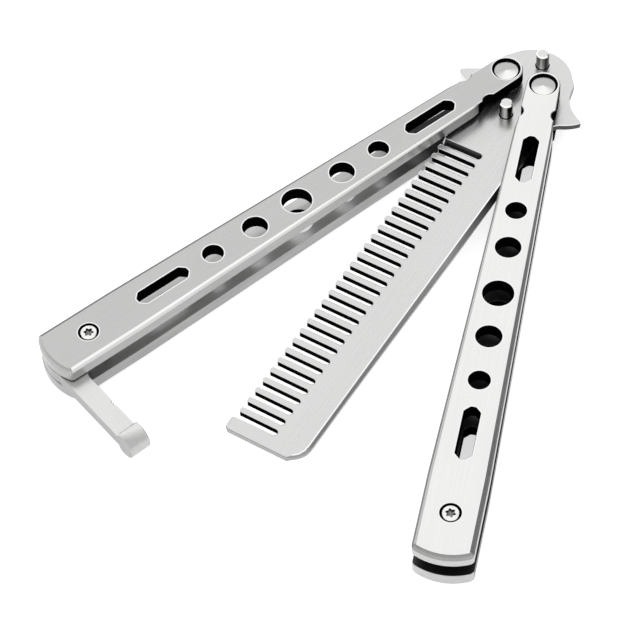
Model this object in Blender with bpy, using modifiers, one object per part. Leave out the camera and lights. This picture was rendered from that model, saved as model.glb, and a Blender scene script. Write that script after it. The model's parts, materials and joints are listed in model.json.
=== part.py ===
"""Folding comb of stainless steel, half open and lying flat.

A toothed plate is held on its tang by two swinging handles.  Each handle is a
pair of slotted plates with a gap that the comb plate folds into.  The left
handle carries a hook latch on its end screw.
The comb points along -Y with its spine on +X; the surface it lies on is z = 0.
"""
import math

import bmesh
import bpy
import numpy as np

MM = 0.001

# --- heights above the surface, mm
PLATE = 3.3                 # thickness of one handle plate
GAP = 3.7                   # open space between the two plates of a handle
TOP = 2 * PLATE + GAP       # upper face of the handles
MID = TOP / 2               # middle of the comb plate
COMB_T = 1.5                # thickness of the comb plate
CLEAR = 0.3                 # air between neighbouring pieces

# --- handles, mm; x runs from the pivot to the free end
PIVOT_X = 4.76              # pivots stand at +-PIVOT_X
LEFT_TURN = 249.58          # direction of each handle in degrees from +X
RIGHT_TURN = 289.4
SCREW_AT = 115.0
END_AT = 125.43
END_R = 12.93
EAR_R = 3.8
NOTCH_AT = (8.7, 4.95)
NOTCH_R = 1.85
SHOULDER = (13.0, 4.22)     # half width just past the notch
WIDE = (105.9, 6.27)        # half width from here to the end
HOLES = ((36.96, 2.28), (47.23, 2.75), (59.75, 3.3), (71.14, 2.75), (82.44, 2.28))
SLOTS = ((15.64, 28.92), (89.28, 102.17))
SLOT_HALF = 1.73
SLOT_CORNER = 1.2

# --- pins and screws, mm
PIVOT_HEAD_R = 2.85
PIVOT_SINK_R = 3.18
PIVOT_SINK = 1.6
PIVOT_R = 2.0
SCREW_HEAD_R = 1.86
SCREW_SINK_R = 2.18
SCREW_SINK = 1.4
BARREL_R = 1.5
STOP_PIN_R = 1.47
STOP_PIN_AT = 8.5           # stop pins stand this far each way from the pivots
STOP_PIN_LOW = 0.4

# --- comb plate, mm; u runs from the pivots to the tip, v towards the spine
SPINE = ((14.0, 9.98, 1.1), (50.0, 9.85, 1.0), (92.0, 9.38, 0.55), (107.0, 9.38, 0.55))
SPINE_BEVEL_Z = 0.35
ROOT_V = 1.4
TIP_V = -8.6
END_V = -8.95              # the end block is a little wider than the teeth are long
END_U = 111.45
CORNER_V = 6.0
FIRST_GAP = (22.3, 1.9)     # middle and width of the wide gap next to the tang
GAP_FROM = 25.38
GAP_PITCH = 2.925
GAP_COUNT = 29
GAP_WIDE = 1.5
TOOTH_CUT = (0.35, 0.5)     # corner taken off each tooth tip, across and along
TANG_CENTRE_U = -3.7
TANG_R = 9.15

# --- latch, mm; measured from its screw in the left handle's own directions
BAR_IN = 5.5
BAR_OUT = 10.05
LATCH_TURN = 1.4            # degrees past square in the pose shown
LATCH_ROOT_R = 10.4
LATCH_LUG_R = 2.7
HOOK_AT = 23.05
HOOK_CENTRE = 24.75
HOOK_R = 3.1

# --- the origin lies under the middle of the whole comb
PLACE_X = 1.014
PLACE_Y = 56.751

for old in list(bpy.data.objects):
    bpy.data.objects.remove(old, do_unlink=True)

parts = bpy.data.collections.new("folding_comb")
bpy.context.scene.collection.children.link(parts)
cutters = bpy.data.collections.new("cutters")
bpy.context.scene.collection.children.link(cutters)


def steel(name, colour, roughness):
    """A plain metal surface."""
    mat = bpy.data.materials.new(name)
    mat.use_nodes = True
    bsdf = mat.node_tree.nodes["Principled BSDF"]
    bsdf.inputs["Base Color"].default_value = (*colour, 1.0)
    bsdf.inputs["Metallic"].default_value = 1.0
    bsdf.inputs["Roughness"].default_value = roughness
    return mat


SATIN = (0.66, 0.66, 0.65)
BRIGHT = (0.74, 0.74, 0.73)


def empty(name, x=0.0, y=0.0, turn=0.0, parent=None):
    """An axis that a moving group hangs on; turn in degrees about Z."""
    axis = bpy.data.objects.new(name, None)
    axis.location = (x * MM, y * MM, 0.0)
    axis.rotation_euler = (0.0, 0.0, math.radians(turn))
    axis.parent = parent
    parts.objects.link(axis)
    return axis


def stack(levels):
    """A closed bmesh through outlines of equal length, lowest first, in mm.

    Each level is an array of x, y, z rows; side faces join row i to row i + 1.
    """
    bm = bmesh.new()
    rings = [[bm.verts.new(p * MM) for p in level] for level in levels]
    count = len(rings[0])
    bm.faces.new(list(reversed(rings[0])))
    bm.faces.new(rings[-1])
    for low, high in zip(rings, rings[1:]):
        for i in range(count):
            j = (i + 1) % count
            bm.faces.new((low[i], low[j], high[j], high[i]))
    bmesh.ops.recalc_face_normals(bm, faces=bm.faces)
    return bm


def at_height(outline, z):
    """The outline's points with one height for all of them."""
    outline = np.asarray(outline, float)
    return np.column_stack([outline, np.full(len(outline), float(z))])


def arc(centre, radius, start, stop, count):
    """Points on a circle from start to stop degrees."""
    turn = np.radians(np.linspace(start, stop, count))
    return [(centre[0] + radius * math.cos(t), centre[1] + radius * math.sin(t)) for t in turn]


def mesh_object(name, bm, parent, group=parts):
    """Turn a bmesh into a named object under its parent axis."""
    mesh = bpy.data.meshes.new(name)
    bm.to_mesh(mesh)
    bm.free()
    obj = bpy.data.objects.new(name, mesh)
    obj.parent = parent
    group.objects.link(obj)
    return obj


def prisms(name, shapes, parent):
    """One cutter made of upright prisms: (outline, low z, high z) each."""
    whole = bmesh.new()
    for outline, low, high in shapes:
        piece = stack([at_height(outline, low), at_height(outline, high)])
        mesh = bpy.data.meshes.new(name)
        piece.to_mesh(mesh)
        piece.free()
        whole.from_mesh(mesh)
        bpy.data.meshes.remove(mesh)
    cutter = mesh_object(name, whole, parent, cutters)
    cutter.hide_render = True
    cutter.display_type = 'WIRE'
    return cutter


def combine(obj, other, operation='DIFFERENCE'):
    """Cut another shape from the object, or join it on."""
    mod = obj.modifiers.new(other.name, 'BOOLEAN')
    mod.operation = operation
    mod.solver = 'EXACT'
    mod.object = other


def turned(name, profile, parent, material, steps=24):
    """A round piece from its outer profile: (radius, height) rows, top to bottom, in mm."""
    mesh = bpy.data.meshes.new(name)
    verts = [(r * MM, 0.0, z * MM) for r, z in profile]
    edges = [(i, i + 1) for i in range(len(profile) - 1)]
    mesh.from_pydata(verts, edges, [])
    obj = bpy.data.objects.new(name, mesh)
    obj.parent = parent
    parts.objects.link(obj)
    screw = obj.modifiers.new("turn", 'SCREW')
    screw.axis = 'Z'
    screw.steps = steps
    screw.render_steps = steps
    screw.use_merge_vertices = True
    screw.merge_threshold = 0.00001
    screw.use_smooth_shade = True
    mesh.materials.append(material)
    return obj


def outward(outline):
    """Unit normals that point out of a counterclockwise outline."""
    outline = np.asarray(outline, float)
    along = np.roll(outline, -1, axis=0) - np.roll(outline, 1, axis=0)
    along /= np.linalg.norm(along, axis=1)[:, None]
    return np.column_stack([along[:, 1], -along[:, 0]])


# Handle plates: an ear round the pivot, a notch for the stop pin on each
# side, a slow taper and an arched free end.  The outer edge is bevelled.

def plate_outline():
    """Counterclockwise outline of a handle plate and the bevel width at each point."""
    bite = math.degrees(math.asin((NOTCH_AT[1] - EAR_R - 0.1) / NOTCH_R))
    corner = math.asin(5.85 / END_R)
    upper = [(END_AT - END_R + END_R * math.cos(t), END_R * math.sin(t))
             for t in np.linspace(0.0, corner, 7)]
    width = [0.72] * 7
    slope = (WIDE[1] - SHOULDER[1]) / (WIDE[0] - SHOULDER[0])
    middle = SHOULDER[1] + slope * (60.0 - SHOULDER[0])
    upper += [(123.4, WIDE[1]), WIDE, (60.0, middle), SHOULDER, (11.5, EAR_R + 0.15)]
    width += [0.95, 0.95, 0.72, 0.4, 0.25]
    upper += arc(NOTCH_AT, NOTCH_R, 360 - bite, 180 + bite, 7)
    width += [0.15] * 7
    upper += arc((0.0, 0.0), EAR_R, 88, 180, 9)
    width += [0.2] * 9
    lower = [(x, -y) for x, y in reversed(upper[1:-1])]
    return np.array(upper + lower), np.array(width + width[-2:0:-1])


def handle_plate(name, parent, outer_up, material):
    """One plate; outer_up tells which of its faces is the bevelled one."""
    outline, width = plate_outline()
    inward = -outward(outline)
    if outer_up:
        depth = np.where(outline[:, 0] > 123.5, 1.35, 0.76 * width)
        inner, outer, sign = TOP - PLATE, TOP, -1.0
    else:
        width = width * 0.5
        depth = width
        inner, outer, sign = PLATE, 0.0, 1.0
    face = outline + inward * width[:, None]
    levels = [
        at_height(outline, inner),
        np.column_stack([outline, outer + sign * depth]),
        at_height(face, outer),
    ]
    plate = mesh_object(name, stack(levels), parent)
    plate.data.materials.append(material)
    low, high = min(inner, outer) - 1.0, max(inner, outer) + 1.0
    cuts = []
    for x, r in HOLES:
        cuts.append((arc((x, 0.0), r, 0, 345, 24), low, high))
    for x0, x1 in SLOTS:
        c, h = SLOT_CORNER, SLOT_HALF
        ring = [(x0, h - c), (x0, c - h), (x0 + c, -h), (x1 - c, -h),
                (x1, c - h), (x1, h - c), (x1 - c, h), (x0 + c, h)]
        cuts.append((ring, low, high))
    cuts.append((arc((0.0, 0.0), PIVOT_R + 0.2, 0, 345, 24), low, high))
    cuts.append((arc((SCREW_AT, 0.0), BARREL_R + 0.05, 0, 340, 18), low, high))
    bores = prisms(name + "_bores", cuts, parent)
    combine(plate, bores)
    sinks = []
    for x, r, deep in ((0.0, PIVOT_SINK_R, PIVOT_SINK), (SCREW_AT, SCREW_SINK_R, SCREW_SINK)):
        floor = outer + sign * deep
        ring = arc((x, 0.0), r, 0, 350, 36)
        sinks.append((ring, min(floor, outer - sign), max(floor, outer - sign)))
    combine(plate, prisms(name + "_sinks", sinks, parent))
    return plate


def pivot_pin(name, parent, material):
    """Domed heads, shafts through the plates, collars beside the tang and a barrel through it."""
    rows = [
        (0.0, TOP - 0.35), (1.4, TOP - 0.40), (2.3, TOP - 0.50), (PIVOT_HEAD_R - 0.1, TOP - 0.60),
        (PIVOT_HEAD_R, TOP - 0.72), (PIVOT_HEAD_R, TOP - PIVOT_SINK + CLEAR),
        (PIVOT_R - 0.1, TOP - PIVOT_SINK + CLEAR), (PIVOT_R - 0.1, TOP - PLATE - CLEAR),
        (2.9, TOP - PLATE - CLEAR), (2.9, MID + COMB_T / 2 + CLEAR),
        (PIVOT_R, MID + COMB_T / 2 + CLEAR),
    ]
    lower = [(r, TOP - z) for r, z in reversed(rows)]
    return turned(name, rows + lower, parent, material)


def end_screw(name, parent, material):
    """Sunk head with a six-lobe recess, thin shank, barrel between the plates and a plain nut."""
    shank = BARREL_R - 0.25
    rows = [
        (0.0, TOP - 0.12), (SCREW_HEAD_R - 0.15, TOP - 0.12), (SCREW_HEAD_R, TOP - 0.25),
        (SCREW_HEAD_R, TOP - SCREW_SINK + CLEAR), (shank, TOP - SCREW_SINK + CLEAR),
        (shank, TOP - PLATE - CLEAR), (BARREL_R, TOP - PLATE - CLEAR),
        (BARREL_R, PLATE + CLEAR), (shank, PLATE + CLEAR), (shank, SCREW_SINK - CLEAR),
        (SCREW_HEAD_R, SCREW_SINK - CLEAR), (SCREW_HEAD_R, 0.25), (SCREW_HEAD_R - 0.15, 0.12),
        (0.0, 0.12),
    ]
    screw = turned(name, rows, parent, material, steps=18)
    screw.location = (SCREW_AT * MM, 0.0, 0.0)
    turn = np.linspace(0.0, 2 * math.pi, 36, endpoint=False)
    lobes = [((0.82 + 0.17 * math.cos(6 * t)) * math.cos(t),
              (0.82 + 0.17 * math.cos(6 * t)) * math.sin(t)) for t in turn]
    recess = prisms(name + "_recess", [(lobes, TOP - 0.9, TOP + 0.5)], parent)
    recess.location = screw.location
    combine(screw, recess)
    return screw


frame = empty("comb_frame", PLACE_X, PLACE_Y)
left_axis = empty("left_pivot_axis", -PIVOT_X, 0.0, LEFT_TURN, frame)
right_axis = empty("right_pivot_axis", PIVOT_X, 0.0, RIGHT_TURN, frame)

plate_steel = steel("plate_satin", SATIN, 0.32)
pin_steel = steel("pin_polished", BRIGHT, 0.16)
screw_steel = steel("screw_bright", BRIGHT, 0.22)
for side, axis in (("left", left_axis), ("right", right_axis)):
    handle_plate(side + "_plate_top", axis, True, plate_steel)
    handle_plate(side + "_plate_bottom", axis, False, plate_steel)
    pivot_pin(side + "_pivot_pin", axis, pin_steel)
    end_screw(side + "_end_screw", axis, screw_steel)

# Spacer sleeve round the right handle's end screw, between its plates.
spacer_rows = [
    (BARREL_R + 0.2, PLATE + CLEAR), (BARREL_R + 0.2, TOP - PLATE - CLEAR),
    (2.6, TOP - PLATE - CLEAR), (2.6, PLATE + CLEAR), (BARREL_R + 0.2, PLATE + CLEAR),
]
spacer = turned("right_end_spacer", spacer_rows, right_axis, steel("spacer_steel", SATIN, 0.4), 20)
spacer.location = (SCREW_AT * MM, 0.0, 0.0)


# Comb plate: round tang head, a hooked guard on each side, then the spine,
# the cut end and the row of teeth.

def comb_outline():
    """Outline in (u, v) and the width of the spine bevel at each point."""
    spine = [
        (-6.8, 9.2), (-4.8, 9.65), (-2.5, 10.15), (-1.0, 11.15), (0.5, 12.7), (1.45, 14.2),
        (2.05, 15.3), (2.5, 15.75), (2.95, 15.6), (3.65, 14.95), (4.4, 14.05), (5.05, 13.0),
        (5.75, 11.65), (6.7, 10.7), (8.4, 10.15),
    ]
    bevel = [0.0] * len(spine)
    spine += [(u, v) for u, v, _ in SPINE]
    bevel += [wide for _, _, wide in SPINE]
    spine += [(109.1, 8.85), (END_U - 0.25, CORNER_V + 0.3), (END_U, CORNER_V)]
    bevel += [0.45, 0.12, 0.0]
    low = TIP_V
    end = [(END_U, END_V + 0.8), (END_U - 0.25, END_V + 0.25), (END_U - 0.8, END_V)]
    teeth = []
    cut, rise = TOOTH_CUT
    gaps = [(GAP_FROM + GAP_PITCH * i, GAP_WIDE) for i in reversed(range(GAP_COUNT))]
    for middle, wide in gaps + [FIRST_GAP]:
        half = wide / 2
        near = END_V if middle > END_U - 6 else low
        teeth += [(middle + half + cut, near), (middle + half, near + rise)]
        teeth += arc((middle, ROOT_V - half), half, 0, 180, 5)
        teeth += [(middle - half, low + rise), (middle - half - cut, low)]
    guard = [
        (9.0, low - 0.2), (7.4, -9.1), (6.0, -10.2), (5.0, -11.6), (4.1, -13.0), (3.45, -14.25),
        (2.75, -15.2), (2.2, -15.7), (1.7, -15.8), (1.3, -15.6), (0.7, -14.75), (0.05, -13.55),
        (-0.65, -12.25), (-1.7, -11.05), (-3.2, -10.2), (-5.2, -9.6), (-6.9, -9.15),
    ]
    head = arc((TANG_CENTRE_U, 0.0), TANG_R, -123, -237, 17)
    points = spine + end + teeth + guard + head
    return np.array(points), np.array(bevel + [0.0] * (len(points) - len(bevel)))


points, bevel = comb_outline()
flat = np.column_stack([points[:, 1], -points[:, 0]])
ring = np.roll(flat, -1, axis=0)
if np.sum(flat[:, 0] * ring[:, 1] - ring[:, 0] * flat[:, 1]) < 0:
    flat, bevel = flat[::-1], bevel[::-1]
bevelled = flat - outward(flat) * bevel[:, None]
low_face, high_face = MID - COMB_T / 2, MID + COMB_T / 2
comb = mesh_object("comb_plate", stack([
    at_height(bevelled, low_face),
    at_height(flat, low_face + SPINE_BEVEL_Z),
    at_height(flat, high_face - SPINE_BEVEL_Z),
    at_height(bevelled, high_face),
]), frame)
comb.data.materials.append(steel("comb_satin", SATIN, 0.3))
bores = [(arc((x, 0.0), PIVOT_R + 0.06, 0, 345, 24), 2.0, 8.0) for x in (-PIVOT_X, PIVOT_X)]
bores += [(arc((0.0, y), STOP_PIN_R + 0.15, 0, 340, 18), 2.0, 8.0) for y in (-STOP_PIN_AT, STOP_PIN_AT)]
combine(comb, prisms("tang_bores", bores, frame))

# Stop pins through the tang: one holds the handles when folded, the other when open.
pin_rows = [
    (0.0, TOP - STOP_PIN_LOW), (STOP_PIN_R - 0.2, TOP - STOP_PIN_LOW),
    (STOP_PIN_R, TOP - STOP_PIN_LOW - 0.2), (STOP_PIN_R, STOP_PIN_LOW + 0.2),
    (STOP_PIN_R - 0.2, STOP_PIN_LOW), (0.0, STOP_PIN_LOW),
]
for name, y in (("tang_pin_closed", -STOP_PIN_AT), ("tang_pin_open", STOP_PIN_AT)):
    pin = turned(name, pin_rows, frame, pin_steel, 18)
    pin.location = (0.0, y * MM, 0.0)

# Latch: a lug round the left end screw, a wide root that follows the handle's
# end, a bar across it and a thick round hook head.
latch_axis = empty("latch_axis", SCREW_AT, 0.0, LATCH_TURN, left_axis)
root = arc((0.0, 0.0), LATCH_ROOT_R, -30, 14, 7)
lug = arc((0.0, 0.0), LATCH_LUG_R, 80, 280, 13)
plan = root + [(BAR_OUT, HOOK_CENTRE), (BAR_IN, HOOK_CENTRE), (BAR_IN, 6.6), (4.7, 4.7), (3.0, 3.4)]
plan += lug + [(4.9, -1.0), (6.9, -3.2)]
latch_low, latch_high = PLATE + CLEAR, TOP - PLATE - CLEAR
latch = mesh_object("latch", stack([at_height(plan, latch_low), at_height(plan, latch_high)]), latch_axis)
latch.data.materials.append(steel("latch_satin", BRIGHT, 0.3))
reach = math.degrees(math.acos((HOOK_AT - HOOK_CENTRE) / HOOK_R))
side_view = arc((HOOK_CENTRE, MID), HOOK_R, -reach, reach, 17)
hook = bmesh.new()
ends = [[hook.verts.new((x * MM, y * MM, z * MM)) for y, z in side_view] for x in (BAR_IN, BAR_OUT)]
hook.faces.new(ends[0])
hook.faces.new(list(reversed(ends[1])))
for i in range(len(side_view)):
    j = (i + 1) % len(side_view)
    hook.faces.new((ends[0][i], ends[0][j], ends[1][j], ends[1][i]))
bmesh.ops.recalc_face_normals(hook, faces=hook.faces)
head = mesh_object("hook_head", hook, latch_axis, cutters)
head.hide_render = True
head.display_type = 'WIRE'
combine(latch, head, 'UNION')
screw_hole = (arc((0.0, 0.0), BARREL_R + 0.06, 0, 340, 18), 2.0, 8.0)
combine(latch, prisms("latch_bore", [screw_hole], latch_axis))
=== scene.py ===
import json
import math

import bpy
import numpy as np
from mathutils import Matrix, Vector
from mathutils.geometry import delaunay_2d_cdt


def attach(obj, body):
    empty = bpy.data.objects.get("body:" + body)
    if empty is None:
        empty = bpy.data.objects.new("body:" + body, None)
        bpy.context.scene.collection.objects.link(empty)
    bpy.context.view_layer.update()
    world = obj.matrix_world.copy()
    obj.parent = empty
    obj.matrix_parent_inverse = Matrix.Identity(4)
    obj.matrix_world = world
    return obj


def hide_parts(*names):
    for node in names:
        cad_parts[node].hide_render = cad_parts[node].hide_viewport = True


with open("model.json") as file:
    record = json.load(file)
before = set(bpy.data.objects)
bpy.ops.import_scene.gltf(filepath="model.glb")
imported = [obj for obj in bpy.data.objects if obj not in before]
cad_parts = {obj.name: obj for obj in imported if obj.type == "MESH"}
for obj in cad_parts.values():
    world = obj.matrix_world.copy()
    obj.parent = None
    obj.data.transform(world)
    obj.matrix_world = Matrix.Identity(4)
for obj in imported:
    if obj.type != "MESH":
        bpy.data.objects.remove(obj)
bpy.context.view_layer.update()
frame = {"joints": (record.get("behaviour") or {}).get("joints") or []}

# The comb lies on a plain white table, lit softly from all round and by the table's
# own glow, with the room darker low down behind it on the right.  The camera looks
# down on it from the tip side, a little rolled.
MM = 0.001
TABLE_HALF = 2.0
TABLE_WHITE, TABLE_GLOW = 0.82, 0.6
DARK_WAY = (0.494, 0.795, 0.35)
DARK_FROM, DARK_FULL = 0.80, 0.93
ROOM_LIGHT, DARK_LIGHT = 1.05, 0.22
EYE = (173.98, -278.243, 426.81)
AIM = (-3.11, -24.303, 10.3)
ROLL = -4.086
LENS = 139.398
HALF_PIXEL = 0.5 / 640

floor_mesh = bpy.data.meshes.new("table_top")
floor_mesh.from_pydata([(x * TABLE_HALF, y * TABLE_HALF, 0)
                        for x, y in ((-1, -1), (1, -1), (1, 1), (-1, 1))], [], [(0, 1, 2, 3)])
floor = bpy.data.objects.new("table_top", floor_mesh)
bpy.context.scene.collection.objects.link(floor)
table_white = bpy.data.materials.new("table_white")
table_white.use_nodes = True
table_bsdf = table_white.node_tree.nodes["Principled BSDF"]
table_bsdf.inputs["Base Color"].default_value = (TABLE_WHITE, TABLE_WHITE, TABLE_WHITE, 1)
table_bsdf.inputs["Roughness"].default_value = 0.9
table_bsdf.inputs["Emission Color"].default_value = (1, 1, 1, 1)
table_bsdf.inputs["Emission Strength"].default_value = TABLE_GLOW
floor_mesh.materials.append(table_white)

room = bpy.data.worlds.new("soft_room")
room.use_nodes = True
bpy.context.scene.world = room
sky = room.node_tree
looking = sky.nodes.new("ShaderNodeTexCoord")
dark_side = sky.nodes.new("ShaderNodeVectorMath")
dark_side.operation = "DOT_PRODUCT"
dark_side.inputs[1].default_value = DARK_WAY
soften = sky.nodes.new("ShaderNodeMapRange")
soften.interpolation_type = "SMOOTHSTEP"
soften.inputs["From Min"].default_value = DARK_FROM
soften.inputs["From Max"].default_value = DARK_FULL
soften.inputs["To Min"].default_value = ROOM_LIGHT
soften.inputs["To Max"].default_value = DARK_LIGHT
sky.links.new(looking.outputs["Generated"], dark_side.inputs[0])
sky.links.new(dark_side.outputs["Value"], soften.inputs["Value"])
sky.links.new(soften.outputs["Result"], sky.nodes["Background"].inputs["Color"])
bpy.context.scene.view_settings.view_transform = "Standard"

toward = (Vector(EYE) - Vector(AIM)).normalized()
level = Vector((0, 0, 1)).cross(toward).normalized()
above = toward.cross(level)
roll = math.radians(ROLL)
right = level * math.cos(roll) + above * math.sin(roll)
upward = above * math.cos(roll) - level * math.sin(roll)
view = Matrix((right, upward, toward)).transposed().to_4x4()
view.translation = Vector(EYE) * MM
lens = bpy.data.cameras.new("camera")
lens.lens = LENS
lens.shift_x = -HALF_PIXEL
lens.shift_y = HALF_PIXEL
lens.clip_start = 0.02
camera = bpy.data.objects.new("camera", lens)
camera.matrix_world = view
bpy.context.scene.collection.objects.link(camera)
bpy.context.scene.camera = camera


# Comb plate: one piece of 1.5 mm stainless sheet, cut to shape with a round tang,
# a hooked guard on each side and a row of sawn teeth.  The spine is bevelled on both
# faces and the whole plate is satin ground along its length.
# Sizes here are in mm: u runs from the middle of the pivots to the comb's tip and v
# from the teeth to the spine.
TOP = 10.3
MID = TOP / 2
SHEET = 1.5
ROOT_V = 1.4
TIP_V = -8.6
END_U = 111.45
GAP_FROM, GAP_PITCH, GAP_COUNT, GAP_WIDE = 25.38, 2.925, 29, 1.5
FIRST_GAP = (22.3, 1.9)
SAWN_FROM, SAWN_TO, SAWN_TOP, SAWN_TIP = 21.0, 108.3, 2.0, -8.2
FIRST_GAP_ENDS = 23.0
FIRST_TAPER, GAP_TAPER = 0.85, 0.12
GUARD_LONG, GUARD_FROM = 9.0, 8.7
CORNER_V = 6.0
TANG_R, TANG_BACK = 9.15, -3.7
TANG_PIVOT_AT, TANG_PIVOT_BORE = 4.76, 2.06
TANG_PIN_AT, TANG_PIN_BORE = 8.5, 1.62
SOFT = 9.0
STEPS = 4
# Comb materials: the satin face; painted shade on the walls of the tooth gaps and bores; the
# bevels, a darker copy of the steel with painted shade; a painted highlight line; near-black
# painted shade on the guard walls.
SATIN, WALL_SHADE, BEVEL, HIGHLIGHT_LINE, GUARD = range(5)
left_pivot = Vector(frame["joints"][0]["pos_m"]) / MM
right_pivot = Vector(frame["joints"][1]["pos_m"]) / MM
tang_middle = (left_pivot + right_pivot) / 2


def rounded(corners, radius):
    """Lines with rounded corners, many at once.

    corners is (m, n, 2): n lines of m corners each.  An inner corner becomes an arc
    tangent to both its sides, with the radius asked for or as much as the shorter
    side lets it have, of STEPS points.  Returns (k, n, 2) points and the unit normals
    on their left.
    """
    corners = np.asarray(corners, float)
    side = np.diff(corners, axis=0)
    length = np.linalg.norm(side, axis=2)
    side = side / np.maximum(length, 1e-9)[..., None]
    left = np.stack([-side[..., 1], side[..., 0]], axis=2)
    radius = np.broadcast_to(np.asarray(radius, float), (len(corners),))
    points, normals = [corners[0]], [left[0]]
    for m in range(1, len(corners) - 1):
        a, b = side[m - 1], side[m]
        turn = np.arctan2(a[:, 0] * b[:, 1] - a[:, 1] * b[:, 0], (a * b).sum(axis=1))
        reach = np.tan(np.abs(turn) / 2)
        most = 0.49 * np.minimum(length[m - 1], length[m]) / np.maximum(reach, 1e-6)
        r = np.minimum(radius[m], most)
        bulge = (-np.sign(turn) * r)[:, None]
        centre = corners[m] - a * (r * reach)[:, None] - left[m - 1] * bulge
        for share in np.linspace(0, 1, STEPS):
            c, s = np.cos(turn * share), np.sin(turn * share)
            n = np.stack([c * left[m - 1][:, 0] - s * left[m - 1][:, 1],
                          s * left[m - 1][:, 0] + c * left[m - 1][:, 1]], axis=1)
            points.append(centre + n * bulge)
            normals.append(n)
    points.append(corners[-1])
    normals.append(left[-1])
    return np.array(points), np.array(normals)


def outline(corners, radius):
    """Closed line with rounded corners: its points and the normals on its right."""
    corners = np.asarray(corners, float)
    ring = np.concatenate([corners[-1:], corners, corners[:1]])[:, None, :]
    radii = np.concatenate([radius[-1:], radius, radius[:1]])
    points, normals = rounded(ring, radii)
    return points[1:-1, 0], -normals[1:-1, 0]


def circle(x, y, r, count=64, inside=True):
    """Points and normals of a circle; inside runs it clockwise with normals inwards."""
    sign = -1.0 if inside else 1.0
    t = sign * np.linspace(0, 2 * np.pi, count, endpoint=False)
    n = np.column_stack([np.cos(t), np.sin(t)])
    return np.array([x, y]) + r * n, sign * n


def edge(path, normals, profile, fillet, bands=None, slant=None, floor=False):
    """One closed edge of a plate: a profile carried along the path.

    profile is (m, 2) or (m, n, 2) of (distance out of the metal, height), from the
    upper face down.  Its corners are rounded, and point i, row k lies at the path
    point plus the distance times the slant, which is the normal unless given.  bands
    has the material of each flat of the profile, one number or one for each point;
    an arc is shared by the flats beside it.  floor closes the last row by itself, as
    in a blind recess.
    """
    profile = np.asarray(profile, float)
    if profile.ndim == 2:
        profile = np.repeat(profile[:, None, :], len(path), axis=1)
    rows, facing = rounded(profile, fillet)
    slant = normals if slant is None else slant
    at = np.empty(rows.shape[:2] + (3,))
    at[..., :2] = path + slant * rows[..., :1]
    at[..., 2] = rows[..., 1]
    out = np.empty_like(at)
    out[..., :2] = normals * facing[..., :1]
    out[..., 2] = facing[..., 1]
    bands = [0] * (len(profile) - 1) if bands is None else bands
    tone = np.array([np.broadcast_to(band, len(path)) for band in bands])
    tone = tone[(np.arange(len(rows) - 1) + 2) // STEPS]
    return {"at": at, "out": out, "floor": floor, "tone": tone}


def plate(name, edges, materials, place, flip=None, back=0):
    """A solid plate from its edges, the outer one first, in mm.

    Rows join to rows as quads; the first rows of all edges bound the upper face, the
    last ones the lower face, and both are filled with triangles that leave the holes.
    The upper face has the first material, the lower one that of back and a recess's
    floor the last.  flip is the height of the whole object, for a plate that lies
    upside down in it; place moves the plate.
    """
    at, out, faces, tone, start = [], [], [], [], 0
    caps = {"upper": [], "lower": [], "floors": []}
    for item in edges:
        k, n = item["at"].shape[:2]
        index = start + np.arange(k * n).reshape(k, n)
        after = np.roll(index, -1, axis=1)
        quads = np.stack([index[:-1], index[1:], after[1:], after[:-1]], axis=2).reshape(-1, 4)
        faces += quads.tolist()
        tone += item["tone"].reshape(-1).tolist()
        caps["upper"].append(index[0])
        caps["floors" if item["floor"] else "lower"].append(index[-1])
        at.append(item["at"].reshape(-1, 3))
        out.append(item["out"].reshape(-1, 3))
        start += k * n
    at, out = np.concatenate(at), np.concatenate(out)
    groups = [(caps["upper"], 1, 0), (caps["lower"], -1, back)]
    groups += [([ring], 1, len(materials) - 1) for ring in caps["floors"]]
    for rings, facing, shade in groups:
        ids = np.concatenate(rings)
        ends = np.cumsum([0] + [len(ring) for ring in rings])
        loops = [list(range(a, b)) for a, b in zip(ends, ends[1:])]
        flat = at[ids, :2]
        corners = [Vector(p) for p in flat.tolist()]
        _, _, tris, source, _, _ = delaunay_2d_cdt(corners, [], loops, 1, 1e-6, True)
        tris = np.array([[source[i][0] for i in tri] for tri in tris])
        middle = flat[tris].mean(axis=1)[:, None, :]
        crossings = 0
        for loop in loops:
            p, q = flat[loop], np.roll(flat[loop], -1, axis=0)
            spans = (p[:, 1] > middle[..., 1]) != (q[:, 1] > middle[..., 1])
            rise = np.where(q[:, 1] == p[:, 1], 1.0, q[:, 1] - p[:, 1])
            meet = p[:, 0] + (middle[..., 1] - p[:, 1]) * (q[:, 0] - p[:, 0]) / rise
            crossings = crossings + (spans & (middle[..., 0] < meet)).sum(axis=1)
        tris = ids[tris[crossings % 2 == 1]].tolist()
        faces += [tri if facing > 0 else tri[::-1] for tri in tris]
        tone += [shade] * len(tris)
    if flip is not None:
        at[:, 2] = flip - at[:, 2]
        out[:, 2] *= -1
        faces = [face[::-1] for face in faces]
    turn = np.array(place.to_3x3())
    at = (at @ turn.T + np.array(place.translation)) * MM
    out = out @ turn.T
    mesh = bpy.data.meshes.new(name)
    mesh.from_pydata(at.tolist(), [], faces)
    for material in materials:
        mesh.materials.append(material)
    mesh.polygons.foreach_set("material_index", tone)
    mesh.shade_smooth()
    mesh.normals_split_custom_set_from_vertices(out.tolist())
    obj = bpy.data.objects.new(name, mesh)
    bpy.context.scene.collection.objects.link(obj)
    return obj


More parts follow.
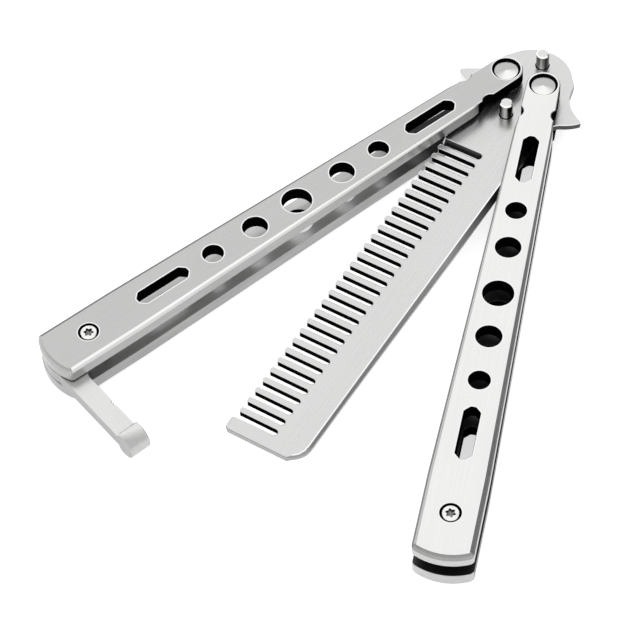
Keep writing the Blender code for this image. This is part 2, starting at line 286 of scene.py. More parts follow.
def ground_steel(name, grey, roughness, turn, long=18.0, fine=0.13, depth=1.0,
                 uneven=0.03, fade=None):
    """Stainless steel ground in one direction, turn degrees from +X.

    Two noises are stretched along the grain, fine scratches and broader bands, and a
    third, round one clouds the surface over a centimetre or so.  The colour is the
    grey plus or minus the uneven share, by the sum of the three.  The scratches alone
    change the roughness a little and are pressed in by the bump.  fade is (point in
    mm, two distances from it, the shares of the colour there), for painted shade that
    grows darker along the piece.
    """
    steel = bpy.data.materials.new(name)
    steel.use_nodes = True
    nodes, link = steel.node_tree.nodes, steel.node_tree.links.new
    bsdf = nodes["Principled BSDF"]
    bsdf.inputs["Metallic"].default_value = 1.0
    place = nodes.new("ShaderNodeTexCoord")

    def grain(length, width, detail):
        """A noise stretched to that length and width in mm, along the grain."""
        lay = nodes.new("ShaderNodeMapping")
        lay.vector_type = "TEXTURE"
        lay.inputs["Rotation"].default_value = (0, 0, math.radians(turn))
        lay.inputs["Scale"].default_value = (length * MM, width * MM, width * MM)
        noise = nodes.new("ShaderNodeTexNoise")
        noise.inputs["Scale"].default_value = 1.0
        noise.inputs["Detail"].default_value = detail
        link(place.outputs["Object"], lay.inputs["Vector"])
        link(lay.outputs["Vector"], noise.inputs["Vector"])
        return noise.outputs["Fac"]

    scratch = grain(long, fine, 2.0)
    band = grain(long * 2.5, fine * 7, 1.0)
    cloud = grain(16.0, 12.0, 2.0)

    def mixed(a, b, share):
        """Sum of two values, the second weighted."""
        add = nodes.new("ShaderNodeMath")
        add.operation = "MULTIPLY_ADD"
        add.inputs[1].default_value = share
        link(b, add.inputs[0])
        link(a, add.inputs[2])
        return add.outputs["Value"]

    total = mixed(mixed(scratch, band, 0.8), cloud, 1.0)
    ramp = nodes.new("ShaderNodeMapRange")
    ramp.inputs["From Min"].default_value = 1.0
    ramp.inputs["From Max"].default_value = 1.8
    ramp.inputs["To Min"].default_value = 1.0 - uneven
    ramp.inputs["To Max"].default_value = 1.0 + uneven
    link(total, ramp.inputs["Value"])
    share = ramp.outputs["Result"]
    if fade:
        apart = nodes.new("ShaderNodeVectorMath")
        apart.operation = "DISTANCE"
        apart.inputs[1].default_value = (fade[0].x * MM, fade[0].y * MM, MID * MM)
        link(place.outputs["Object"], apart.inputs[0])
        fading = nodes.new("ShaderNodeMapRange")
        fading.inputs["From Min"].default_value = fade[1][0] * MM
        fading.inputs["From Max"].default_value = fade[1][1] * MM
        fading.inputs["To Min"].default_value = fade[2][0]
        fading.inputs["To Max"].default_value = fade[2][1]
        link(apart.outputs["Value"], fading.inputs["Value"])
        both = nodes.new("ShaderNodeMath")
        both.operation = "MULTIPLY"
        link(share, both.inputs[0])
        link(fading.outputs["Result"], both.inputs[1])
        share = both.outputs["Value"]
    tint = nodes.new("ShaderNodeVectorMath")
    tint.operation = "SCALE"
    tint.inputs[0].default_value = (grey, grey, grey * 0.993)
    link(share, tint.inputs["Scale"])
    link(tint.outputs["Vector"], bsdf.inputs["Base Color"])
    rough = nodes.new("ShaderNodeMapRange")
    rough.inputs["From Min"].default_value = 0.3
    rough.inputs["From Max"].default_value = 0.7
    rough.inputs["To Min"].default_value = roughness + 0.06
    rough.inputs["To Max"].default_value = roughness - 0.06
    link(scratch, rough.inputs["Value"])
    link(rough.outputs["Result"], bsdf.inputs["Roughness"])
    press = nodes.new("ShaderNodeBump")
    press.inputs["Strength"].default_value = 0.35 * depth
    press.inputs["Distance"].default_value = 0.01 * MM
    link(scratch, press.inputs["Height"])
    link(press.outputs["Normal"], bsdf.inputs["Normal"])
    return steel


def painted_shade_wall(name):
    """Painted shade for a wall that lies in shade: near black and matt, two dark greys mixed by
    a noise.
    """
    grey = 0.0015
    wall = bpy.data.materials.new(name)
    wall.use_nodes = True
    nodes, link = wall.node_tree.nodes, wall.node_tree.links.new
    bsdf = nodes["Principled BSDF"]
    bsdf.inputs["Roughness"].default_value = 0.55
    bsdf.inputs["Specular IOR Level"].default_value = 0.0
    place = nodes.new("ShaderNodeTexCoord")
    blotch = nodes.new("ShaderNodeTexNoise")
    blotch.inputs["Scale"].default_value = 900.0
    blotch.inputs["Detail"].default_value = 3.0
    link(place.outputs["Object"], blotch.inputs["Vector"])
    shade = nodes.new("ShaderNodeMix")
    shade.data_type = "RGBA"
    shade.inputs["A"].default_value = (grey * 0.4, grey * 0.4, grey * 0.4, 1)
    shade.inputs["B"].default_value = (grey * 2.2, grey * 2.2, grey * 2.2, 1)
    link(blotch.outputs["Fac"], shade.inputs["Factor"])
    link(shade.outputs["Result"], bsdf.inputs["Base Color"])
    return wall


def comb_outline():
    """Corners (u, v) of the comb plate, and the radius, bevel width and depth at each."""
    rows = []

    def add(u, v, r=SOFT, wide=0.12, deep=0.12):
        """Add one corner."""
        rows.append((u, v, r, wide, deep))

    spine_guard = (
        (-6.9, 9.15), (-5.2, 9.55), (-3.8, 9.85), (-2.5, 10.25), (-1.0, 11.15), (0.5, 12.7),
        (1.45, 14.2), (2.05, 15.3), (2.5, 15.75), (2.95, 15.6), (3.65, 14.95), (4.4, 14.05),
        (5.05, 13.0), (5.75, 11.65), (6.7, 10.7), (8.4, 10.15))
    for u, v in spine_guard:
        add(u, v)
    for u, v, wide in ((14.0, 9.98, 1.1), (50.0, 9.85, 1.0), (92.0, 9.38, 0.6),
                       (107.0, 9.38, 0.6), (108.6, 9.05, 0.5), (110.2, 7.9, 0.35)):
        add(u, v, SOFT, wide, 0.35)
    add(END_U, CORNER_V, 0.6)
    add(END_U, TIP_V - 0.35, 0.9)
    gaps = [(GAP_FROM + GAP_PITCH * i, GAP_WIDE) for i in reversed(range(GAP_COUNT))]
    for middle, wide in gaps + [FIRST_GAP]:
        half = wide / 2
        add(middle + half, TIP_V - 0.3 * (middle > 106), 0.42, 0.24)
        add(middle + half, ROOT_V, 1.0, 0.2)
        add(middle - half, ROOT_V, 1.0)
        add(middle - half, TIP_V, 0.42)
    tooth_guard = (
        (11.0, TIP_V), (9.0, TIP_V - 0.2), (7.4, -9.1), (6.0, -10.2), (5.0, -11.6),
        (4.1, -13.0), (3.45, -14.25), (2.75, -15.2), (2.2, -15.7), (1.7, -15.8),
        (1.3, -15.6), (0.7, -14.75), (0.05, -13.55), (-0.65, -12.25), (-1.7, -11.05),
        (-3.2, -10.2), (-5.2, -9.6), (-6.9, -9.15))
    for u, v in tooth_guard:
        add(u, v)
    for t in np.radians(np.linspace(-237, -123, 23)[::-1]):
        add(TANG_BACK + TANG_R * math.cos(t), TANG_R * math.sin(t))
    return np.array(rows)


cut = comb_outline()[::-1]
flat = np.column_stack([cut[:, 1], -cut[:, 0]])
ring = np.roll(flat, -1, axis=0)
if (flat[:, 0] * ring[:, 1] - ring[:, 0] * flat[:, 1]).sum() < 0:
    flat, cut = flat[::-1], cut[::-1]
path, normals = outline(flat, cut[:, 2])
wide = np.repeat(cut[:, 3], STEPS)
deep = np.repeat(cut[:, 4], STEPS)
none = np.zeros_like(wide)
high, low = MID + SHEET / 2, MID - SHEET / 2
spine = wide > 0.3
shine = np.where(spine, 0.32, 0.04)
at_u, at_v = -path[:, 1], path[:, 0]
sawn = (at_u > SAWN_FROM) & (at_u < SAWN_TO) & (at_v < SAWN_TOP)
taper = np.where(at_u < FIRST_GAP_ENDS, FIRST_TAPER, GAP_TAPER)
taper = taper * sawn * np.clip(-normals[:, 1], 0, 1)
profile = np.stack([
    np.stack([-wide - shine - 0.02, none + high], axis=1),
    np.stack([-wide - shine, none + high], axis=1),
    np.stack([-wide, none + high], axis=1),
    np.stack([none, high - deep], axis=1),
    np.stack([taper, low + deep], axis=1),
    np.stack([taper - wide, none + low], axis=1),
    np.stack([taper - wide - 0.03, none + low], axis=1),
])
in_gap = sawn & (at_v > SAWN_TIP)
on_guard = (np.abs(at_u) < GUARD_LONG) & (at_v > GUARD_FROM)
tooth_top = in_gap & (normals[:, 1] > 0.5)
bevelled = spine | (at_u > SAWN_TO)
# The rounded lips of the unbevelled edges, the teeth's upper edges among them, carry a painted
# highlight line, as does a thin band inside the spine bevel.
lip = np.where(bevelled, BEVEL, np.where(in_gap & ~tooth_top, SATIN, HIGHLIGHT_LINE))
wall = np.where(on_guard, GUARD, np.where(bevelled, BEVEL, SATIN))
# The far walls in the tooth gaps get painted shade, the first, tapered one the guards'
# near-black painted shade.
wall = np.where(in_gap, np.where(taper > 0.5, GUARD, WALL_SHADE), wall)
crest = np.where(spine, HIGHLIGHT_LINE, SATIN)
edges = [edge(path, normals, profile, 0.08, [SATIN, crest, lip, wall, BEVEL, SATIN])]
bore_rows = [(-0.1, high), (0, high), (0, low), (-0.1, low)]
# The tang's bores get painted shade on their walls.
for x, y, r in ((-TANG_PIVOT_AT, 0, TANG_PIVOT_BORE), (TANG_PIVOT_AT, 0, TANG_PIVOT_BORE),
                (0, -TANG_PIN_AT, TANG_PIN_BORE), (0, TANG_PIN_AT, TANG_PIN_BORE)):
    edges.append(edge(*circle(x, y, r, 48), bore_rows, 0.05, [SATIN, WALL_SHADE, SATIN]))
comb_finish = [
    ground_steel("comb_satin", 0.68, 0.28, 90.0, depth=0.8, uneven=0.02),
    # painted shade for the gap and bore walls
    painted_shade_wall("comb_wall_shade"),
    # the bevels: a darker copy of the satin steel, painted shade, darkest near the tang
    ground_steel("comb_bevels", 0.32, 0.3, 90.0, long=6.0, uneven=0.1,
                 fade=(tang_middle, (33.0, 52.0), (0.04, 1.0))),
    # painted highlight along the spine and the unbevelled edges
    ground_steel("highlight_lines", 0.95, 0.22, 90.0, long=9.0, uneven=0.04),
    # near-black painted shade on the guard walls and the first gap's far wall
    ground_steel("guard_rims", 0.07, 0.35, 0.0, long=3.0, uneven=0.2),
]
comb = plate("ground_comb_plate", edges, comb_finish,
             Matrix.Translation((tang_middle.x, tang_middle.y, 0)))
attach(comb, "comb")
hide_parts("comb_plate")


# Stop pins: two short polished rods pressed through the tang, one for the closed
# and one for the open handles, each with a turned chamfer at both ends.
PIN_R = 1.47
PIN_LOW = 0.4
PIN_CHAMFER = 0.28
PIN_FACE, PIN_SIDE, PIN_EDGE = range(3)


def turned_steel(name, grey, roughness, x, y, fan=0.1, start=0.0, bow=None):
    """Stainless steel turned about the upright line through x, y in mm.

    Fine rings, a noise on the distance from the line, change the roughness and are
    pressed in.  Light and dark sectors are painted reflection, as of a turned face: the
    grey times one plus or minus the fan, by a noise on the direction from the line, or
    by how near that direction is to the angle bow, for one soft painted highlight
    wedge.  start picks the part of the noise.
    """
    steel = bpy.data.materials.new(name)
    steel.use_nodes = True
    nodes, link = steel.node_tree.nodes, steel.node_tree.links.new
    bsdf = nodes["Principled BSDF"]
    bsdf.inputs["Metallic"].default_value = 1.0
    place = nodes.new("ShaderNodeTexCoord")
    centre = nodes.new("ShaderNodeMapping")
    centre.vector_type = "TEXTURE"
    centre.inputs["Location"].default_value = (x * MM, y * MM, 0)
    centre.inputs["Scale"].default_value = (MM, MM, 1000.0)
    link(place.outputs["Object"], centre.inputs["Vector"])
    around = nodes.new("ShaderNodeVectorMath")
    around.operation = "NORMALIZE"
    link(centre.outputs["Vector"], around.inputs[0])
    tone = nodes.new("ShaderNodeMapRange")
    tone.inputs["To Min"].default_value = 1.0 - fan
    tone.inputs["To Max"].default_value = 1.0 + fan
    if bow is None:
        shift = nodes.new("ShaderNodeVectorMath")
        shift.inputs[1].default_value = (start, start, 0.0)
        link(around.outputs["Vector"], shift.inputs[0])
        sectors = nodes.new("ShaderNodeTexNoise")
        sectors.inputs["Scale"].default_value = 0.9
        sectors.inputs["Detail"].default_value = 0.0
        link(shift.outputs["Vector"], sectors.inputs["Vector"])
        tone.inputs["From Min"].default_value = 0.38
        tone.inputs["From Max"].default_value = 0.62
        link(sectors.outputs["Fac"], tone.inputs["Value"])
    else:
        lean = nodes.new("ShaderNodeVectorMath")
        lean.operation = "DOT_PRODUCT"
        bow = math.radians(bow)
        lean.inputs[1].default_value = (math.cos(bow), math.sin(bow), 0)
        link(around.outputs["Vector"], lean.inputs[0])
        tone.interpolation_type = "SMOOTHSTEP"
        tone.inputs["From Min"].default_value = -0.1
        tone.inputs["From Max"].default_value = 1.0
        link(lean.outputs["Value"], tone.inputs["Value"])
    away = nodes.new("ShaderNodeVectorMath")
    away.operation = "LENGTH"
    link(centre.outputs["Vector"], away.inputs[0])
    rings = nodes.new("ShaderNodeTexNoise")
    rings.noise_dimensions = "1D"
    rings.inputs["Scale"].default_value = 9.0
    rings.inputs["Detail"].default_value = 2.0
    link(away.outputs["Value"], rings.inputs["W"])
    tint = nodes.new("ShaderNodeVectorMath")
    tint.operation = "SCALE"
    tint.inputs[0].default_value = (grey, grey, grey * 0.99)
    link(tone.outputs["Result"], tint.inputs["Scale"])
    link(tint.outputs["Vector"], bsdf.inputs["Base Color"])
    rough = nodes.new("ShaderNodeMapRange")
    rough.inputs["To Min"].default_value = roughness - 0.05
    rough.inputs["To Max"].default_value = roughness + 0.05
    link(rings.outputs["Fac"], rough.inputs["Value"])
    link(rough.outputs["Result"], bsdf.inputs["Roughness"])
    press = nodes.new("ShaderNodeBump")
    press.inputs["Strength"].default_value = 0.2
    press.inputs["Distance"].default_value = 0.01 * MM
    link(rings.outputs["Fac"], press.inputs["Height"])
    link(press.outputs["Normal"], bsdf.inputs["Normal"])
    return steel


def turned(name, radius, profile, fillet, materials, place, extra=(), bands=None):
    """A round piece: the profile, as (radius, height) from the top, carried round."""
    rows = np.asarray(profile, float) - (radius, 0)
    path, normals = circle(0, 0, radius, 64, inside=False)
    body = edge(path, normals, rows, fillet, bands)
    return plate(name, [body, *extra], materials, place)


pin_rows = [
    (0.3, TOP - PIN_LOW), (PIN_R - PIN_CHAMFER, TOP - PIN_LOW),
    (PIN_R, TOP - PIN_LOW - PIN_CHAMFER), (PIN_R, PIN_LOW + PIN_CHAMFER),
    (PIN_R - PIN_CHAMFER, PIN_LOW), (0.3, PIN_LOW),
]
for end, y in (("closed", -TANG_PIN_AT), ("open", TANG_PIN_AT)):
    at = Matrix.Translation((tang_middle.x, tang_middle.y + y, 0))
    x, y = at.translation.x, at.translation.y
    # The pin's face, side and chamfer are one steel in three greys: painted light and shade, a
    # painted highlight on the chamfers and dark painted reflection streaks down the side.
    pin_finish = [
        turned_steel("pin_face_" + end, 0.72, 0.2, x, y, 0.05),
        turned_steel("pin_side_" + end, 0.30, 0.14, x, y, 0.9, 2.2),
        turned_steel("pin_chamfer_" + end, 0.95, 0.15, x, y, 0.03),
    ]
    pin = turned("polished_pin_" + end, PIN_R, pin_rows, 0.05, pin_finish, at,
                 bands=[PIN_FACE, PIN_EDGE, PIN_SIDE, PIN_EDGE, PIN_FACE])
    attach(pin, "comb")
    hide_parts("tang_pin_" + end)


# Handle plates: four stainless plates, two to a handle, stamped with the same holes
# and slots, ground along their length and with a rolled chamfer all round the outer
# face, which has a sunk seat for the pivot's head and one for the end screw.
PLATE = 3.3
LEFT_TURN = 249.58
RIGHT_TURN = 289.4
SCREW_AT = 115.0
END_AT, END_R, END_HALF = 125.43, 12.93, 5.9
END_CORNER, END_FROM = 123.4, 123.45
EAR_R = 3.8
EAR_TO, EAR_FROM, EAR_TURN, NOTCH_SIDE = 12.0, -2.5, 2.5, 6.0
NOTCH_AT, NOTCH_R = (8.7, 4.95), 1.85
SHOULDER = (13.0, 4.22)
WIDE = (105.9, 6.27)
HOLES = ((36.96, 2.28), (47.23, 2.75), (59.75, 3.3), (71.14, 2.75), (82.44, 2.28))
SLOTS = ((15.64, 28.92), (89.28, 102.17))
SLOT_HALF, SLOT_CORNER, SLOT_SOFT = 1.73, 1.2, 0.5
SHARP = 0.36
ROLL_IN, ROLL_DOWN = 0.46, 0.38
BORE_R, SEAT_R, SEAT_DEEP = 2.2, 3.18, 1.6
SCREW_BORE_R, SCREW_SEAT_R, SCREW_SEAT_DEEP = 1.55, 2.18, 1.4
# Handle materials: the satin face; painted shade on the walls of the ear, notch, holes, slots
# and seats; the rims, a darker copy of the steel; a painted highlight; painted shade along
# chamfers; the inner faces, with painted shade near the pivot; a mid grey; and the lower
# plate's walls, with painted shade along them.
FACE, SHADED_WALL, RIM, EDGE_HIGHLIGHT, EDGE_SHADE, INNER, GREY, LOWER = range(8)


def drawn_in(corners, width):
    """The closed line's corners moved in by their widths, along the mitre of each."""
    corners = np.asarray(corners, float)
    along = np.roll(corners, -1, axis=0) - corners
    along /= np.linalg.norm(along, axis=1)[:, None]
    after = np.column_stack([along[:, 1], -along[:, 0]])
    before = np.roll(after, 1, axis=0)
    mitre = (before + after) / (1 + (before * after).sum(axis=1))[:, None]
    return corners - mitre * np.asarray(width, float)[:, None]


def handle_outline():
    """Corners (x, y) of a handle plate and, at each, radius, chamfer width and depth.

    x runs from the pivot to the free end, and the halves on each side of y = 0 mirror
    each other.
    """
    rows = []
    for t in np.linspace(0, math.asin(END_HALF / END_R), 8):
        x, y = END_AT - END_R + END_R * math.cos(t), END_R * math.sin(t)
        rows.append((x, y, SOFT, 0.72, 1.3))
    rows.append((END_CORNER, WIDE[1], 0.35, 0.95, 0.72))
    rows.append((*WIDE, SOFT, 0.95, 0.72))
    rows.append((60.0, 5.26, SOFT, 0.78, 0.58))
    rows.append((*SHOULDER, SOFT, 0.4, 0.3))
    rows.append((11.5, EAR_R + 0.15, 0.3, 0.25, 0.2))
    bite = math.asin((NOTCH_AT[1] - EAR_R - 0.1) / NOTCH_R)
    for t in np.linspace(-bite, bite - math.pi, 11):
        x, y = NOTCH_AT[0] + NOTCH_R * math.cos(t), NOTCH_AT[1] + NOTCH_R * math.sin(t)
        rows.append((x, y, SOFT, 0.16, 0.14))
    for t in np.radians(np.linspace(88, 180, 12)):
        rows.append((EAR_R * math.cos(t), EAR_R * math.sin(t), SOFT, 0.2, 0.16))
    mirrored = [(x, -y, r, w, d) for x, y, r, w, d in reversed(rows[1:-1])]
    return np.array(rows + mirrored)


def handle_edges(share, near, far, end, side_wall):
    """Edges of a handle plate; share is how much of the chamfer this one has.

    near, far and end are the materials of the upper and the lower half of the rolled
    chamfer along +y, -y and the free end; side_wall is that of the upright wall
    along +y.
    """
    cut = handle_outline()
    width, depth = cut[:, 3] * share, cut[:, 4] * share
    path, normals = outline(cut[:, :2], cut[:, 2])
    soft = np.where(cut[:, 2] < SHARP, 0.08, SOFT)
    inner, _ = outline(drawn_in(cut[:, :2], width), soft)
    width, depth = np.repeat(width, STEPS), np.repeat(depth, STEPS)
    slant = (path - inner) / width[:, None]
    none = np.zeros_like(width)
    rows = np.stack([
        np.stack([-width - 0.06, none + TOP], axis=1),
        np.stack([-width, none + TOP], axis=1),
        np.stack([-width * ROLL_IN, TOP - depth * ROLL_DOWN], axis=1),
        np.stack([none, TOP - depth], axis=1),
        np.stack([none, none + TOP - PLATE + 0.1], axis=1),
        np.stack([none - 0.1, none + TOP - PLATE], axis=1),
        np.stack([none - 0.11, none + TOP - PLATE], axis=1),
    ])
    x, y = path.T
    # The walls round the ear and the notch get painted shade.
    ear = (x < EAR_TO) & (((y > 0) & (x > EAR_FROM)) | (x > NOTCH_SIDE))
    wall = np.where(ear, SHADED_WALL, np.where((y > 0) & (x < END_FROM), side_wall, RIM))
    bands = [FACE]
    for k in (0, 1):
        lip = np.where(x > END_FROM, end[k], np.where(y > 0, near[k], far[k]))
        bands.append(np.where((x < EAR_TURN) & (y < 0), near[k], lip))
    edges = [edge(path, normals, rows, 0.12, bands + [wall, wall, INNER], slant)]
    # Holes, slots and seats: a painted highlight on the rounded lip and painted shade on the
    # walls.
    through = [(-0.35, TOP), (0, TOP), (0, TOP - PLATE), (-0.2, TOP - PLATE)]
    for x, r in HOLES:
        edges.append(edge(*circle(x, 0, r, 72), through, 0.2, [EDGE_HIGHLIGHT, SHADED_WALL, INNER]))
    for x0, x1 in SLOTS:
        c, h = SLOT_CORNER, SLOT_HALF
        slot = [(x0, h - c), (x0 + c, h), (x1 - c, h), (x1, h - c),
                (x1, c - h), (x1 - c, -h), (x0 + c, -h), (x0, c - h)]
        edges.append(edge(*outline(slot, [SLOT_SOFT] * 8), through, 0.2,
                          [EDGE_HIGHLIGHT, SHADED_WALL, INNER]))
    for x, bore, seat, deep in ((0, BORE_R, SEAT_R, SEAT_DEEP),
                                (SCREW_AT, SCREW_BORE_R, SCREW_SEAT_R, SCREW_SEAT_DEEP)):
        step = seat - bore
        rows = [(-step - 0.3, TOP), (-step, TOP), (-step, TOP - deep), (0, TOP - deep),
                (0, TOP - PLATE), (-0.2, TOP - PLATE)]
        edges.append(edge(*circle(x, 0, bore, 72), rows, 0.14,
                          [EDGE_HIGHLIGHT, SHADED_WALL, SHADED_WALL, SHADED_WALL, INNER]))
    return edges


places = {}
# The two handles are one steel, but each plate material has its own grey on each handle:
# painted light and shade, the right handle's faces lighter on top and its inner faces near
# black.
for side, pivot, turn, top, rim, edge_shade_grey, inner, grey, lower, lower_end, near, far, end in (
        ("left", left_pivot, LEFT_TURN, 0.54, 0.36, 0.12, 0.55, 0.66, 0.36, 0.95,
         (EDGE_HIGHLIGHT, GREY), (EDGE_SHADE, EDGE_SHADE), (RIM, RIM)),
        ("right", right_pivot, RIGHT_TURN, 0.83, 0.48, 0.28, 0.08, 0.52, 0.408, 0.04,
         (GREY, EDGE_SHADE), (GREY, EDGE_SHADE), (EDGE_SHADE, EDGE_SHADE))):
    at = Matrix.Translation((pivot.x, pivot.y, 0)) @ Matrix.Rotation(math.radians(turn), 4, "Z")
    places[side] = at
    finish = [
        ground_steel(side + "_plate_satin", top, 0.28, turn, long=22.0, depth=0.6, uneven=0.02),
        # painted shade for the cut walls and the seats
        painted_shade_wall(side + "_handle_wall_shade"),
        ground_steel(side + "_plate_rims", rim, 0.3, turn, long=14.0, uneven=0.1),
        # painted highlight on the lips and chamfers
        ground_steel(side + "_bright_edges", 0.90, 0.22, turn, long=14.0),
        # painted shade on the chamfers
        ground_steel(side + "_shaded_edges", edge_shade_grey, 0.3, turn, long=14.0, uneven=0.1),
        # painted shade between the plates: the inner faces, darkest near the pivot
        ground_steel(side + "_inner_faces", inner, 0.36, turn, long=6.0, uneven=0.15,
                     fade=(pivot, (25.0, 40.0), (0.06, 1.0))),
        ground_steel(side + "_grey_edges", grey, 0.28, turn, long=14.0, uneven=0.08),
        # the lower plate's walls, with painted shade growing towards the free end
        ground_steel(side + "_lower_walls", lower, 0.3, turn, long=14.0, uneven=0.15,
                     fade=(pivot, (55.0, 95.0), (1.0, lower_end))),
    ]
    for level, share, along, side_wall, flip in (("top", 1.0, near, RIM, None),
                                                 ("bottom", 0.5, (EDGE_SHADE, EDGE_SHADE), LOWER, TOP)):
        name = side + "_plate_" + level
        edges = handle_edges(share, along, far, end, side_wall)
        piece = plate("ground_" + name, edges, finish, at, flip, back=INNER)
        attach(piece, side + "_handle")
        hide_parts(name)


# Pivot pins: a polished flat-domed head sunk in each outer plate, a collar each side
# of the tang and a barrel through it, the two halves screwed together inside.
HEAD_R, HEAD_THICK = 2.88, 1.3
COLLAR_R, COLLAR_DOWN = 2.88, 1.05
SHAFT_R, BARREL_R = 1.9, 2.0
CLEAR = 0.3
# BOWS is the angle, in degrees, of the painted highlight wedge on each pivot head.
BOWS = {"left": -40, "right": -70}
for side, pivot in (("left", left_pivot), ("right", right_pivot)):
    half = [
        (0.25, TOP - 0.34), (1.2, TOP - 0.37), (2.0, TOP - 0.44), (HEAD_R - 0.2, TOP - 0.55),
        (HEAD_R, TOP - 0.75), (HEAD_R, TOP - HEAD_THICK), (SHAFT_R, TOP - HEAD_THICK),
        (SHAFT_R, TOP - PLATE - CLEAR), (COLLAR_R, TOP - PLATE - CLEAR),
        (COLLAR_R, MID + COLLAR_DOWN), (BARREL_R, MID + COLLAR_DOWN),
    ]
    rows = half + [(r, TOP - z) for r, z in reversed(half)]
    # The head's soft light wedge and its darker sides are painted highlight and shade.
    polished = turned_steel(side + "_pivot_polish", 0.70, 0.2, pivot.x, pivot.y, 0.28,
                            bow=BOWS[side])
    pin = turned("polished_" + side + "_pivot", HEAD_R, rows, 0.12, [polished], places[side])
    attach(pin, side + "_handle")
    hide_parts(side + "_pivot_pin")


# End screws: a bright turned screw with a six-lobe recess sunk flush in each handle's
# upper plate, on a barrel that keeps the plates apart, with a nut in the lower one.
SCREW_HEAD_R, SCREW_EDGE, SCREW_HEAD_TO = 1.82, 0.14, 1.1
SHANK_R = 1.25
SPREADER_R = 1.5
SUNK = 0.12
LOBE_R, LOBE_SWING, LOBE_TURN, LOBE_FLOOR = 0.92, 0.17, 0.35, 0.6


def lobes(turn, points=72):
    """Six-lobe line and its normals: a mean radius plus a swing by the cosine of 6 t."""
    t = np.linspace(0, 2 * np.pi, points, endpoint=False)[::-1]
    r = LOBE_R + LOBE_SWING * np.cos(6 * t)
    path = np.column_stack([r * np.cos(t + turn), r * np.sin(t + turn)])
    along = np.roll(path, -1, axis=0) - np.roll(path, 1, axis=0)
    along /= np.linalg.norm(along, axis=1)[:, None]
    return path, np.column_stack([along[:, 1], -along[:, 0]])


for side in ("left", "right"):
    at = places[side] @ Matrix.Translation((SCREW_AT, 0, 0))
    rows = [
        (1.3, TOP - SUNK), (SCREW_HEAD_R - SCREW_EDGE, TOP - SUNK),
        (SCREW_HEAD_R, TOP - SUNK - SCREW_EDGE), (SCREW_HEAD_R, TOP - SCREW_HEAD_TO),
        (SHANK_R, TOP - SCREW_HEAD_TO), (SHANK_R, TOP - PLATE - CLEAR),
        (SPREADER_R, TOP - PLATE - CLEAR), (SPREADER_R, PLATE + CLEAR),
        (SHANK_R, PLATE + CLEAR), (SHANK_R, SCREW_HEAD_TO), (SCREW_HEAD_R, SCREW_HEAD_TO),
        (SCREW_HEAD_R, SUNK + SCREW_EDGE), (SCREW_HEAD_R - SCREW_EDGE, SUNK), (0.3, SUNK),
    ]
    recess_rows = [(-0.03, TOP - SUNK), (0, TOP - SUNK),
                   (0.06, TOP - LOBE_FLOOR), (0.08, TOP - LOBE_FLOOR)]
    recess = edge(*lobes(LOBE_TURN), recess_rows, 0.02, [0, 1, 1], floor=True)
    x, y = at.translation.x, at.translation.y
    # the recess's walls and floor: painted shade, the floor a darker copy with painted
    # reflection sectors
    screw_finish = [
        turned_steel(side + "_screw_bright", 0.86, 0.2, x, y, 0.05),
        painted_shade_wall(side + "_recess_shade"),
        turned_steel(side + "_recess_floor", 0.2, 0.4, x, y, 0.6),
    ]
    screw = turned("bright_" + side + "_screw", SCREW_HEAD_R, rows, 0.06, screw_finish,
                   at, [recess])
    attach(screw, side + "_handle")
    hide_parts(side + "_end_screw")


# End spacer: a plain turned steel sleeve round the right end screw, which keeps the
# two plates of the right handle apart, as the latch's root does on the left one.
SLEEVE_R, SLEEVE_BORE = 2.6, 1.7
upper, under = TOP - PLATE - CLEAR, PLATE + CLEAR
at = places["right"] @ Matrix.Translation((SCREW_AT, 0, 0))
sleeve_rows = [(SLEEVE_R - 0.2, upper), (SLEEVE_R, upper), (SLEEVE_R, under),
               (SLEEVE_R - 0.2, under)]
between_rows = [(-0.1, upper), (0, upper), (0, under), (-0.1, under)]
sleeve_hole = edge(*circle(0, 0, SLEEVE_BORE, 48), between_rows, 0.05)
plain = turned_steel("sleeve_turned", 0.6, 0.35, at.translation.x, at.translation.y, 0.05)
sleeve = turned("turned_end_spacer", SLEEVE_R, sleeve_rows, 0.08, [plain], at, [sleeve_hole])
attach(sleeve, "right_handle")
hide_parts("right_end_spacer")


# Latch: a stamped stainless lever on the left end screw, held between the plates,
# with a root that follows the handle's end and a thick rounded head at its tip that
# hooks over the other handle.
LATCH_TURN = 1.4
LATCH_BORE = 1.56
BAR_IN, BAR_OUT = 5.5, 10.05
ROOT_R, LUG_R = 10.4, 2.7
NICKS, NICK_DEEP = ((16.6, 0), (16.2, 1), (15.8, 0), (15.4, 1), (15.0, 0)), 0.6
HOOK_AT, HOOK_CENTRE, HOOK_R, HOOK_HALF = 23.05, 24.75, 3.1, 2.2
HOOK_IN = BAR_IN - 0.3
root = Matrix.Translation((SCREW_AT, 0, 0)) @ Matrix.Rotation(math.radians(LATCH_TURN), 4, "Z")
at = places["left"] @ root
plan = [(ROOT_R * math.cos(t), ROOT_R * math.sin(t), SOFT)
        for t in np.radians(np.linspace(-30, 14, 10))]
plan += [(BAR_OUT, HOOK_CENTRE, 0.3), (BAR_IN, HOOK_CENTRE, 0.3)]
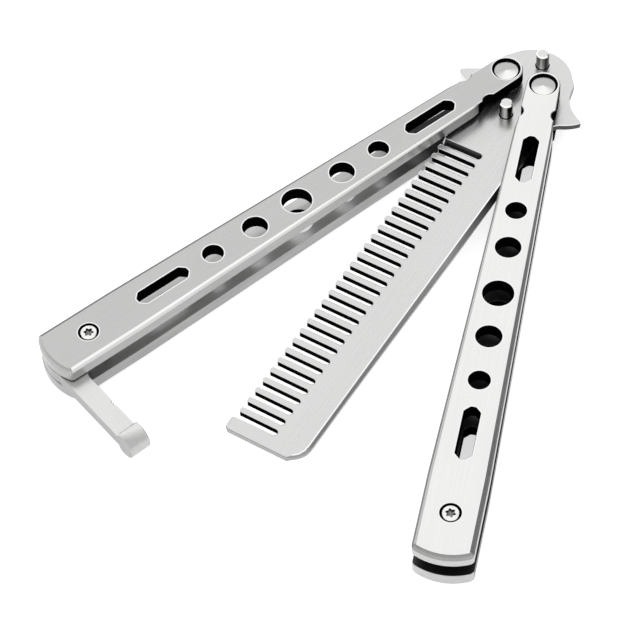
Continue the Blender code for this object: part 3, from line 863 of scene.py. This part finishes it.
plan += [(BAR_IN + NICK_DEEP * deep, y, 0.1) for y, deep in NICKS]
plan += [(BAR_IN, 6.6, 1.5), (3.4, 3.7, 2.0)]
plan += [(LUG_R * math.cos(t), LUG_R * math.sin(t), SOFT)
         for t in np.radians(np.linspace(80, 280, 16))]
plan += [(4.9, -1.0, 2.0), (6.9, -3.2, 1.5)]
plan = np.array(plan)
turn = LEFT_TURN + LATCH_TURN + 90
# The latch's sides and the head's ends are a darker copy of its steel, painted shade, and the
# head grows darker towards its tip, painted shade where it curves away.
latch_satin = ground_steel("latch_satin", 0.74, 0.3, turn, long=8.0, fine=0.16, depth=1.5)
latch_side = ground_steel("latch_sides", 0.33, 0.35, turn, long=4.0, uneven=0.12)
bar = plate("satin_latch_bar", [
    edge(*outline(plan[:, :2], plan[:, 2]), between_rows, 0.09, [0, 1, 1]),
    edge(*circle(0, 0, LATCH_BORE, 48), between_rows, 0.05, [0, 1, 0]),
], [latch_satin, latch_side], at, back=1)
reach = math.acos((HOOK_AT - HOOK_CENTRE) / HOOK_R)
side_view = [(HOOK_CENTRE + HOOK_R * math.cos(t), MID + HOOK_R * math.sin(t), SOFT)
             for t in np.linspace(-reach, reach, 24)]
side_view = np.array([(HOOK_AT, MID - HOOK_HALF, 0.4)] + side_view[1:-1]
                     + [(HOOK_AT, MID + HOOK_HALF, 0.4)])
head_rows = [(-0.4, BAR_OUT), (0, BAR_OUT), (0, HOOK_IN), (-0.4, HOOK_IN)]
across = Matrix(((0, 0, 1, 0), (1, 0, 0, 0), (0, 1, 0, 0), (0, 0, 0, 1)))
path, normals = outline(side_view[:, :2], side_view[:, 2])
head_grain = ground_steel("latch_head", 0.75, 0.3, turn, long=5.0, depth=1.5, uneven=0.06,
                          fade=(at.translation, (26.0, 27.8), (1.0, 0.6)))
head = plate("satin_latch_head", [edge(path, normals, head_rows, 0.3, [0, 1, 0])],
             [latch_side, head_grain], at @ across)
for piece in (bar, head):
    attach(piece, "latch")
    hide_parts("latch")
